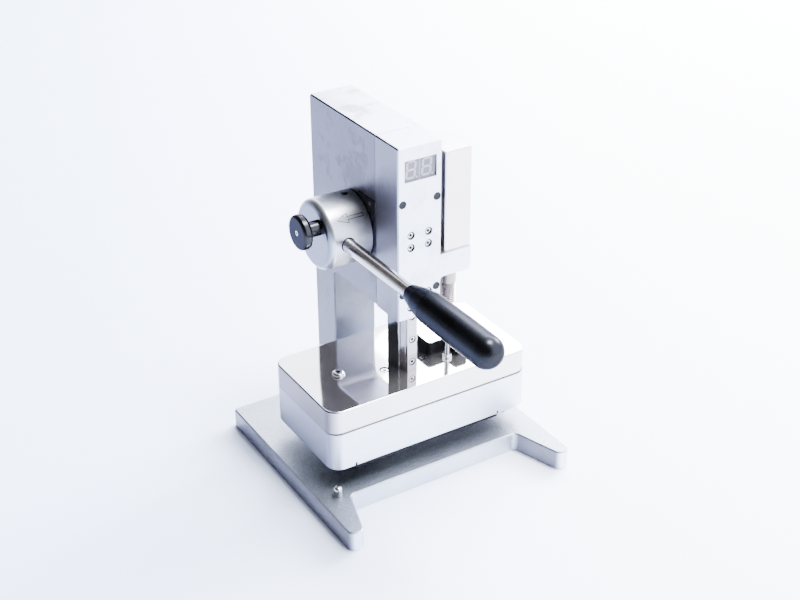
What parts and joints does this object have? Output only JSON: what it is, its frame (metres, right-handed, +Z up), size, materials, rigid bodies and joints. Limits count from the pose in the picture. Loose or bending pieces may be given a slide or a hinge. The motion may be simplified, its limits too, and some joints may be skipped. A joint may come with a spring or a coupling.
{
  "type": "lever-operated heated platen press",
  "caption": "Bench press with a hand lever that drives a heated rectangular platen down a linear rail by rack and pinion, over a base plate with two tapered legs.",
  "frame": {"origin": "on the table surface under the machine, in the C-frame's middle plane in X; y = 0 is the joint plane between the C-frame and the front housing", "axes": "+Z up, front (lever grip, display and leg tips) towards -Y, +X to the right of a person facing the front"},
  "size_m": [0.2, 0.2845, 0.2753],
  "materials": {
    "anodised_aluminium": "satin bead-blasted anodised aluminium",
    "polished_steel": "mirror polished stainless steel",
    "machined_steel": "ground and turned steel",
    "plated_screws": "zinc and nickel plated fasteners",
    "spring_steel": "drawn spring wire",
    "bronze": "sintered bronze and brass",
    "plain_aluminium": "machined aluminium",
    "black_plastic": "black moulded phenolic",
    "matt_black": "matt black plastic and coating",
    "rubber": "black rubber",
    "lens": "clear acrylic window",
    "led_face": "grey LED display face",
    "circuit_board": "green circuit board",
    "insulation": "fibre insulation board"
  },
  "bodies": {
    "frame": {"base_plate": "anodised_aluminium", "foot_pads": "rubber", "locating_pin": "machined_steel", "frame_bolts": "plated_screws", "c_frame": "anodised_aluminium", "power_inlet": "black_plastic", "front_housing": "anodised_aluminium", "carriage_screws": "plated_screws", "housing_screws": "plated_screws", "hole_plugs": "matt_black", "display_lens": "lens", "display_module": "led_face", "display_board": "circuit_board", "guide_carriages": "machined_steel", "carriage_end_caps": "matt_black", "control_board": "circuit_board", "heater_relay": "matt_black", "shaft_bushes": "bronze", "bearing_flange": "matt_black", "flange_screws": "plated_screws", "return_guide": "plated_screws", "side_housing": "polished_steel", "return_spring": "spring_steel"},
    "platen": {"slide_bar": "machined_steel", "guide_rail": "machined_steel", "slide_screws": "plated_screws", "drive_rack": "machined_steel", "return_rod": "machined_steel", "rod_nut": "plated_screws", "platen_cover": "polished_steel", "foot_screws": "plated_screws", "cover_screws": "plated_screws", "slide_foot": "machined_steel", "slide_bolt": "plated_screws", "platen_shell": "polished_steel", "platen_top_plate": "machined_steel", "insulation_board": "insulation", "platen_spacers": "machined_steel", "heater_plate": "plain_aluminium", "cartridge_heaters": "machined_steel", "temperature_probe": "machined_steel", "press_plate": "matt_black", "platen_bumpers": "rubber", "terminal_box": "black_plastic", "terminal_lid": "polished_steel"},
    "lever": {"pinion_gear": "machined_steel", "pinion_shaft": "machined_steel", "pinion_key": "machined_steel", "shaft_end_screw": "plated_screws", "lever_hub": "anodised_aluminium", "index_plate": "machined_steel", "hub_set_screws": "plated_screws", "lever_rod": "machined_steel", "grip_insert": "bronze", "lever_grip": "black_plastic", "plunger_sleeve": "black_plastic", "plunger_spring": "spring_steel"},
    "plunger": {"plunger_pin": "machined_steel", "plunger_knob": "black_plastic", "knob_screw": "plated_screws"}
  },
  "joints": [
    {"name": "platen_slide", "type": "slide", "parent": "frame", "child": "platen", "axis": [0, 0, -1], "range_m": [0, 0.0117], "stiffness_N_per_m": 3000, "springref_m": -0.02, "deforming": ["return_spring"]},
    {"name": "lever_turn", "type": "hinge", "parent": "frame", "child": "lever", "pos_m": [0, 0.029, 0.193], "axis": [1, 0, 0], "range_deg": [0, 32]},
    {"name": "plunger_pull", "type": "slide", "parent": "lever", "child": "plunger", "axis": [-1, 0, 0], "range_m": [0, 0.005], "stiffness_N_per_m": 900, "springref_m": -0.004, "deforming": ["plunger_spring"]}
  ],
  "couplings": [
    {"joint": "lever_turn", "follows": "platen_slide", "rad_per_m": 47.619}
  ]
}
